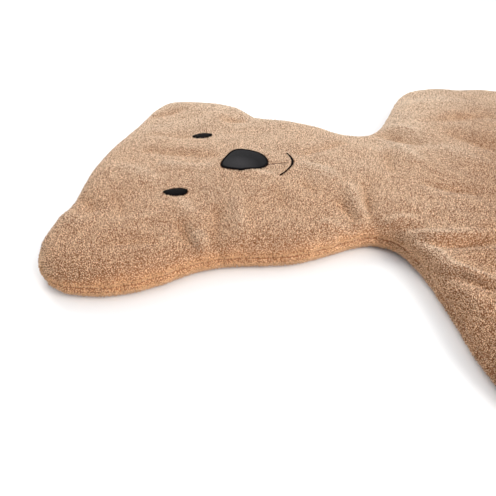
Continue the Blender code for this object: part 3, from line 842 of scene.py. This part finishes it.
def even_loop(loop, count):
    """The same closed loop with this many points, an even distance apart."""
    ring = np.vstack([loop, loop[:1]])
    run = length_run(ring)
    stops = np.linspace(0.0, run[-1], count, endpoint=False)
    return np.stack([np.interp(stops, run, ring[:, 0]), np.interp(stops, run, ring[:, 1])], axis=1)


def loop_length(loop):
    """The length round a closed loop."""
    return np.linalg.norm(loop - np.roll(loop, 1, axis=0), axis=1).sum()


def inside_loop(plan, loop):
    """Which plan points lie inside the loop, by the sides that a ray towards +X crosses."""
    start, end = loop, np.roll(loop, -1, axis=0)
    x, y = plan[:, :1], plan[:, 1:]
    spans = (start[:, 1] > y) != (end[:, 1] > y)
    rise = np.where(end[:, 1] == start[:, 1], 1.0, end[:, 1] - start[:, 1])
    crossing = start[:, 0] + (y - start[:, 1]) / rise * (end[:, 0] - start[:, 0])
    return (spans & (x < crossing)).sum(axis=1) % 2 == 1


def under_the_face(plan):
    """Which plan points lie under the eyes, the nose, the mouth or the lip line."""
    face, gap = settings().face, settings().pile.face_gap
    found = inside_loop(plan, nose_loop(gap))
    found |= inside_loop(plan, eye_loop("eye_right", face.right_lean, gap))
    found |= inside_loop(plan, eye_loop("eye_left", face.left_lean, gap))
    line, half = mouth_curve(np.linspace(-1.0, 1.0, 41))
    for start, end, width in zip(line, line[1:], half):
        found |= line_distance(plan, start, end) < width + gap
    found |= line_distance(plan, face.lip_top, face.lip_low) < LIP_GAP * gap
    return found


def disc_faces(rows, columns):
    """Quads that join rows of a closed ring one to the next."""
    row, column = np.meshgrid(np.arange(rows - 1), np.arange(columns), indexing="ij")
    after = (column + 1) % columns
    first, second = row * columns, (row + 1) * columns
    faces = np.stack([first + column, first + after, second + after, second + column], axis=-1)
    return faces.reshape(-1, 4)


def sheet_mesh(name, loop, profile, front):
    """A closed sheet over a loop. Its profile is pairs of a share, by which the loop shrinks to its middle,
    and a height over the pile's tips, from the middle of the underside out and back over the top."""
    middle = loop.mean(axis=0)
    plan = np.array([middle + (loop - middle) * max(share, 0.004) for share, _ in profile])
    lift = np.array([height for _, height in profile])[:, None]
    points = front.lifted(plan, lift).reshape(-1, 3)
    mesh = mesh_of(name, points, disc_faces(len(profile), len(loop)))
    work = bmesh.new()
    work.from_mesh(mesh)
    bmesh.ops.contextual_create(work, geom=[e for e in work.edges if e.is_boundary])
    bmesh.ops.holes_fill(work, edges=[e for e in work.edges if e.is_boundary], sides=0)
    bmesh.ops.recalc_face_normals(work, faces=work.faces[:])
    work.to_mesh(mesh)
    work.free()
    mesh.shade_smooth()
    return mesh


def strand_mesh(name, paths, radii, sides=6, flat=0.75):
    """Threads along paths, given as strands by points by three numbers, with a radius for each point. Each
    ring is an oval square to the path, flatter upwards, and the two end rings close on a small face."""
    strands, steps, _ = paths.shape
    along = unit(np.gradient(paths, axis=1))
    beside = unit(np.cross(along, np.array([0.0, 0.0, 1.0])))
    above = np.cross(beside, along)
    turn = np.linspace(0.0, 2.0 * math.pi, sides, endpoint=False)
    ring = np.cos(turn)[:, None] * beside[:, :, None] + flat * np.sin(turn)[:, None] * above[:, :, None]
    points = paths[:, :, None] + radii[:, :, None, None] * ring
    first = (np.arange(strands) * steps * sides)[:, None, None]
    walls = (first + disc_faces(steps, sides)[None]).reshape(-1, 4)
    mesh = bpy.data.meshes.new(name)
    ends = np.arange(sides)
    starts = (first[:, 0] + ends[::-1]).tolist()
    tails = (first[:, 0] + (steps - 1) * sides + ends).tolist()
    mesh.from_pydata(points.reshape(-1, 3).tolist(), [], walls[:, ::-1].tolist() + starts + tails)
    mesh.update()
    work = bmesh.new()
    work.from_mesh(mesh)
    bmesh.ops.recalc_face_normals(work, faces=work.faces[:])
    work.to_mesh(mesh)
    work.free()
    lengths = np.linalg.norm(np.diff(paths, axis=1), axis=2)
    run = np.concatenate([np.zeros((strands, 1)), np.cumsum(lengths, axis=1)], axis=1)
    point_attribute(mesh, "run", np.repeat(run[:, :, None], sides, axis=2))
    point_attribute(mesh, "turn", np.tile(np.linspace(0.0, 1.0, sides, endpoint=False), strands * steps))
    mesh.shade_smooth()
    return mesh


def satin(front, starts, ends, thickness, arch, steps=6):
    """Paths and radii of satin stitches from one side of a shape to the other. Each dives into the fleece
    at its ends and arches over the middle, as the root of a half sine."""
    share = np.linspace(0.0, 1.0, steps)
    plan = starts[:, None] + (ends - starts)[:, None] * share[None, :, None]
    rise = np.sin(math.pi * share) ** 0.5
    lift = -STITCH_DIVE + (STITCH_DIVE + STITCH_LIFT + arch) * rise
    paths = front.lifted(plan, lift[None, :])
    radii = np.broadcast_to(thickness / 2 * (STITCH_END + (1.0 - STITCH_END) * rise), paths.shape[:2])
    return paths, radii


def ragged_ends(starts, ends, pick):
    """The stitches' ends, each moved a little along its stitch."""
    ragged = settings().face.ragged
    along = unit(ends - starts)
    return (
        starts - along * pick.normal(0.0, ragged, (len(starts), 1)),
        ends + along * pick.normal(0.0, ragged, (len(starts), 1)),
    )


def add_stitches(name, stitches, finish, nodes=()):
    """Puts stitches, given as their paths and radii, into the scene as one piece."""
    add_piece(name, strand_mesh(name, *stitches), finish, nodes)


def curl_frames(normals, pick):
    """For each curl two directions along the cloth, turned at random about its normal."""
    helper = np.where(np.abs(normals[:, 2:]) < 0.9, (0.0, 0.0, 1.0), (0.0, 1.0, 0.0))
    first = unit(np.cross(normals, helper))
    second = np.cross(normals, first)
    turn = pick.uniform(0.0, 2.0 * math.pi, (len(normals), 1))
    return np.cos(turn) * first + np.sin(turn) * second, np.cos(turn) * second - np.sin(turn) * first


def pile_spots():
    """Where the curls stand, and the cloth's normals there: one on each quad of an even mesh of the cover,
    but for the underside, the seam and what lies under the face."""
    sizes, pad = settings().pile, settings().pad
    mesh = even_quads(bpy.data.objects[PAD].data.copy(), sizes.pitch, 0)
    spots, normals = read_rows(mesh.polygons, "center"), read_rows(mesh.polygons, "normal")
    bpy.data.meshes.remove(mesh)
    up = normals[:, 2]
    kept = (up > UNDERSIDE_SLOPE) & (spots[:, 2] > LOWEST_TUFT)
    kept &= np.abs(spots[:, 2] - pad.seam_height) > sizes.seam_gap * (np.abs(up) < WALL_SLOPE)
    kept &= ~((up > FRONT_SLOPE) & under_the_face(spots[:, :2]))
    return spots[kept], normals[kept]


def pile_points(spots, normals, pick):
    """The four points of each tuft, and the direction that each faces: a tip that leans aside, and three
    corners sunk in the cloth, so that every tuft is a small lump, longer one way than the other. Each is
    moved along the cloth at random, by nearly half the pitch at most each way. The tip faces out from the
    cloth, and a corner a little to its own side, as loose yarn takes the light."""
    sizes = settings().pile
    count = len(spots)
    long_way, short_way = curl_frames(normals, pick)
    slide = sizes.pitch * pick.uniform(-SCATTER, SCATTER, (count, 2))
    middle = spots + slide[:, :1] * long_way + slide[:, 1:] * short_way
    size = 1.0 + sizes.spread * pick.uniform(-1.0, 1.0, (count, 3))
    turn = np.radians([0.0, 120.0, 240.0])[None, :, None]
    reach = sizes.length * size[:, :1, None] * np.cos(turn) * long_way[:, None]
    reach = reach + sizes.width * size[:, 1:2, None] * np.sin(turn) * short_way[:, None]
    rise = sizes.height * size[:, 2:] * normals
    lean = sizes.length * pick.uniform(-TIP_LEAN, TIP_LEAN, (count, 2))
    tip = middle + rise + lean[:, :1] * long_way + lean[:, 1:] * short_way
    corners = (middle - sizes.sunk * normals)[:, None] + reach
    aside = unit(normals[:, None] + sizes.roundness * unit(reach))
    faced = np.concatenate([normals[:, None], aside], axis=1)
    return np.concatenate([tip[:, None], corners], axis=1), faced


def pile_mesh(name, points, faced, relief, rim, pick):
    """Joins tufts into one mesh of three triangles each, open only at the foot inside the cloth, with how
    near the tip each point is, a tint for each tuft, how high it stands in the folds, how steeply the cloth
    under it turns down at the rim, and a map on which each tuft unfolds into a square of its own."""
    count = len(points)
    one = np.array([(0, 1, 2), (0, 2, 3), (0, 3, 1)])
    faces = (np.arange(count)[:, None, None] * 4 + one[None]).reshape(-1, 3)
    mesh = mesh_of(name, points.reshape(-1, 3), faces)
    point_attribute(mesh, "tip", np.tile([1.0, 0.0, 0.0, 0.0], count))
    point_attribute(mesh, "tint", np.repeat(pick.uniform(0.0, 1.0, count), 4))
    point_attribute(mesh, "relief", np.repeat(relief, 4))
    point_attribute(mesh, "rim", np.repeat(rim, 4))
    across = math.ceil(math.sqrt(count))
    fan = np.array([(0.5, 0.4), (0.0, 0.0), (1.0, 0.0), (0.5, 1.0)])
    square = 0.04 + 0.92 * fan[one].reshape(-1, 2)
    cell = np.stack([np.arange(count) % across, np.arange(count) // across], axis=1)
    spread = (cell[:, None] + square[None]) / across
    mesh.uv_layers.new(name="OFBake").uv.foreach_set("vector", spread.astype(np.float32).ravel())
    mesh.normals_split_custom_set_from_vertices(faced.reshape(-1, 3).tolist())
    return mesh


class BEARRUG_OT_pad(bpy.types.Operator):
    """Makes the filled cover under the pile from the frame's pad"""

    bl_idname = "bearrug.pad"
    bl_label = "Fleece pad"

    def execute(self, context):
        sizes = settings().pad
        mesh = even_quads(merged_copy("pad"), sizes.voxel, sizes.smoothing)
        points, normals = read_rows(mesh.vertices, "co"), read_rows(mesh.vertices, "normal")
        put_vertices(mesh, shaped_cover(points, normals))
        mesh.shade_smooth()
        pad = add_piece(PAD, mesh, cover_finish(), ["pad"])
        return {"FINISHED"}


class BEARRUG_OT_pile(bpy.types.Operator):
    """Covers the pad in short curls, in one joined mesh for each part of the rug"""

    bl_idname = "bearrug.pile"
    bl_label = "Curly pile"

    def execute(self, context):
        pick = np.random.default_rng(PILE_SEED)
        spots, normals = pile_spots()
        points, faced = pile_points(spots, normals, pick)
        points[..., 2] = np.maximum(points[..., 2], FLOOR_GAP)
        finish = pile_finish()
        # The folds' height under each tuft, from which the pile's finish paints shade in creases and a
        # highlight on ridges.
        relief = folds(spots[:, :2]) * np.clip(normals[:, 2], 0.0, 1.0)
        # How steeply the cloth turns down at the rim, which the pile's finish uses for the rim's colour and
        # its painted light and shade.
        rim = np.clip(1.0 - RIM_FADE * normals[:, 2], 0.0, 1.0)
        for name, low_x, high_x, low_y, high_y in PILE_PARTS:
            x, y = spots[:, 0], spots[:, 1]
            part = (x >= low_x) & (x < high_x) & (y >= low_y) & (y < high_y)
            mesh = pile_mesh(name, points[part], faced[part], relief[part], rim[part], pick)
            add_piece(name, mesh, finish)
        return {"FINISHED"}


class BEARRUG_OT_nose(bpy.types.Operator):
    """Makes the cloth nose and the band of satin stitches round it"""

    bl_idname = "bearrug.nose"
    bl_label = "Nose"

    def execute(self, context):
        face, front = settings().face, Front()
        edge = nose_loop(-PATCH_INSET * face.band, 96)
        mesh = sheet_mesh("nose_patch", edge, NOSE_PROFILE, front)
        patch = add_piece("nose_patch", mesh, nose_finish(), ["nose"])
        width, length = (edge.max(axis=0) - edge.min(axis=0)).tolist()
        after = np.roll(edge, -1, axis=0)
        area = abs((edge[:, 0] * after[:, 1] - after[:, 0] * edge[:, 1]).sum()) / 2
        pick = np.random.default_rng(STITCH_SEED)
        rim = nose_loop(0.0)
        outer = even_loop(rim, int(loop_length(rim) / face.stitch_pitch))
        along = unit(np.roll(outer, -1, axis=0) - np.roll(outer, 1, axis=0))
        into = np.stack([-along[:, 1], along[:, 0]], axis=1)
        inner = outer + into * face.band + along * BAND_SLANT * face.stitch_pitch
        stitches = satin(front, *ragged_ends(outer, inner, pick), face.thread, NOSE_ARCH)
        black = thread_finish("black thread", settings().colours.black_thread, 0.7)
        add_stitches("nose_stitches", stitches, black, ["nose_edging"])
        return {"FINISHED"}


class BEARRUG_OT_eyes(bpy.types.Operator):
    """Makes the two satin stitched eyes"""

    bl_idname = "bearrug.eyes"
    bl_label = "Eyes"

    def execute(self, context):
        face, front = settings().face, Front()
        black = thread_finish("black eye thread", settings().colours.black_thread, 0.7)
        pick = np.random.default_rng(STITCH_SEED + 1)
        for node, lean in (("eye_right", face.right_lean), ("eye_left", face.left_lean)):
            middle = eye_middle(node)
            rows = np.arange(-face.eye_length / 2 + EYE_MARGIN, face.eye_length / 2, face.stitch_pitch)
            half = eye_half_width(node) * np.sqrt(1.0 - (rows / (face.eye_length / 2)) ** 2)
            half = half * (1.0 - face.drop * rows / (face.eye_length / 2)) + EYE_MARGIN
            slant = EYE_SLANT * face.stitch_pitch
            starts = turned(middle + np.stack([-half, rows - slant], axis=1), middle, lean)
            ends = turned(middle + np.stack([half, rows + slant], axis=1), middle, lean)
            stitches = satin(front, *ragged_ends(starts, ends, pick), face.thread, EYE_ARCH, 11)
            add_stitches(node + "_stitches", stitches, black, [node])
            under = sheet_mesh(node, eye_loop(node, lean, 0.0), UNDERLAY_PROFILE, front)
            add_piece(node + "_underlay", under, black)
        return {"FINISHED"}


class BEARRUG_OT_mouth(bpy.types.Operator):
    """Makes the stitched smile and the fine lip line from the nose down to it"""

    bl_idname = "bearrug.mouth"
    bl_label = "Mouth"

    def execute(self, context):
        face, front = settings().face, Front()
        pick = np.random.default_rng(STITCH_SEED + 2)
        shares = np.linspace(-1.0, 1.0, 400)
        fine, _ = mouth_curve(shares)
        run = length_run(fine)
        share = np.interp(np.arange(0.0, run[-1], face.stitch_pitch), run, shares)
        line, half = mouth_curve(share)
        along = unit(np.gradient(line, axis=0))
        across = np.stack([-along[:, 1], along[:, 0]], axis=1)
        slant = along * BAND_SLANT * face.stitch_pitch
        side = across * half[:, None]
        starts, ends = line - side - slant, line + side + slant
        thickness = MOUTH_THREAD * face.thread
        stitches = satin(front, *ragged_ends(starts, ends, pick), thickness, MOUTH_ARCH)
        black = thread_finish("black mouth thread", settings().colours.black_thread, 0.7)
        add_stitches("mouth_stitches", stitches, black, ["mouth"])
        share = np.linspace(0.0, 1.0, LIP_STITCHES, endpoint=False)
        top, low = np.array(face.lip_top), np.array(face.lip_low)
        starts = top + (low - top) * share[:, None]
        ends = starts + (low - top) * LIP_STITCH
        stitches = satin(front, starts, ends, LIP_THREAD, LIP_ARCH)
        brown = thread_finish("brown thread", settings().colours.brown_thread, 0.6)
        add_stitches("lip_line_stitches", stitches, brown)
        return {"FINISHED"}


class BEARRUG_OT_stage(bpy.types.Operator):
    """Sets the pale floor, the soft light and the camera"""

    bl_idname = "bearrug.stage"
    bl_label = "Stage"

    def execute(self, context):
        stage, scene = settings().stage, context.scene
        half = stage.floor_side / 2
        corners = half * np.array([(-1.0, -1.0, 0.0), (1.0, -1.0, 0.0), (1.0, 1.0, 0.0), (-1.0, 1.0, 0.0)])
        mesh = mesh_of("floor", corners, np.array([[0, 1, 2, 3]]))
        mesh.materials.append(floor_finish())
        floor = put("floor", mesh)
        world = bpy.data.worlds.new("soft sky")
        world.use_nodes = True
        sky = world.node_tree.nodes["Background"]
        sky.inputs["Color"].default_value = (*stage.sky_colour, 1.0)
        sky.inputs["Strength"].default_value = stage.sky
        scene.world = world
        add_lamp("key", Vector(stage.key_place), stage, stage.key_power)
        add_lamp("second", Vector(stage.fill_place), stage, stage.fill_power)
        add_camera(stage)
        scene.view_settings.view_transform = "Standard"
        scene.view_settings.look = "None"
        scene.view_settings.exposure = 0.0
        scene.view_settings.gamma = 1.0
        return {"FINISHED"}


def add_lamp(name, place, stage, power):
    """A square lamp that looks at the rug's middle."""
    lamp = bpy.data.lights.new(name, "AREA")
    lamp.size = stage.lamp_side
    lamp.color = stage.lamp_colour
    lamp.energy = power
    obj = put(name, lamp)
    obj.location = place
    obj.rotation_mode = "QUATERNION"
    obj.rotation_quaternion = (-place).to_track_quat("-Z", "Y")


def add_camera(stage):
    """The camera, from its place, its turn from +X towards -Y, how far it looks down and its roll."""
    yaw, pitch, roll = (math.radians(a) for a in (stage.camera_yaw, stage.camera_pitch, stage.camera_roll))
    ahead = Vector((math.cos(yaw) * math.cos(pitch), -math.sin(yaw) * math.cos(pitch), -math.sin(pitch)))
    level = Vector((-math.sin(yaw), -math.cos(yaw), 0.0))
    upright = level.cross(ahead)
    right = level * math.cos(roll) + upright * math.sin(roll)
    above = upright * math.cos(roll) - level * math.sin(roll)
    data = bpy.data.cameras.new("camera")
    data.lens = stage.lens
    data.sensor_width = SENSOR_WIDTH
    data.clip_start, data.clip_end = 0.01, 100.0
    camera = put("camera", data)
    turn = Matrix((right, above, -ahead)).transposed()
    camera.matrix_world = Matrix.Translation(Vector(stage.camera_place)) @ turn.to_4x4()
    bpy.context.scene.camera = camera


class BEARRUG_PT_panel(bpy.types.Panel):
    """The rug's pieces and their sizes"""

    bl_idname = "BEARRUG_PT_panel"
    bl_label = "Bear Rug"
    bl_space_type = "VIEW_3D"
    bl_region_type = "UI"
    bl_category = "Bear Rug"

    def draw(self, context):
        rug = context.scene.bear_rug
        for operator in OPERATORS:
            self.layout.operator(operator.bl_idname)
        for group in (rug.pad, rug.pile, rug.face, rug.colours, rug.stage):
            box = self.layout.box()
            for name in group.bl_rna.properties.keys():
                if name not in ("rna_type", "name"):
                    box.prop(group, name)


OPERATORS = (
    BEARRUG_OT_pad, BEARRUG_OT_pile, BEARRUG_OT_nose, BEARRUG_OT_eyes, BEARRUG_OT_mouth, BEARRUG_OT_stage
)
GROUPS = (PadSizes, PileSizes, FaceSizes, Colours, StageSizes, BearRug)
CLASSES = (*GROUPS, *OPERATORS, BEARRUG_PT_panel)


def register():
    """Registers the settings, the operators and the panel."""
    for one in CLASSES:
        bpy.utils.register_class(one)
    bpy.types.Scene.bear_rug = PointerProperty(type=BearRug)


def unregister():
    """Takes them away again."""
    del bpy.types.Scene.bear_rug
    for one in reversed(CLASSES):
        bpy.utils.unregister_class(one)


def main():
    """Makes every piece of the rug in order, then its stage."""
    register()
    bpy.ops.bearrug.pad()
    bpy.ops.bearrug.pile()
    bpy.ops.bearrug.nose()
    bpy.ops.bearrug.eyes()
    bpy.ops.bearrug.mouth()
    bpy.ops.bearrug.stage()


if __name__ == "__main__":
    main()
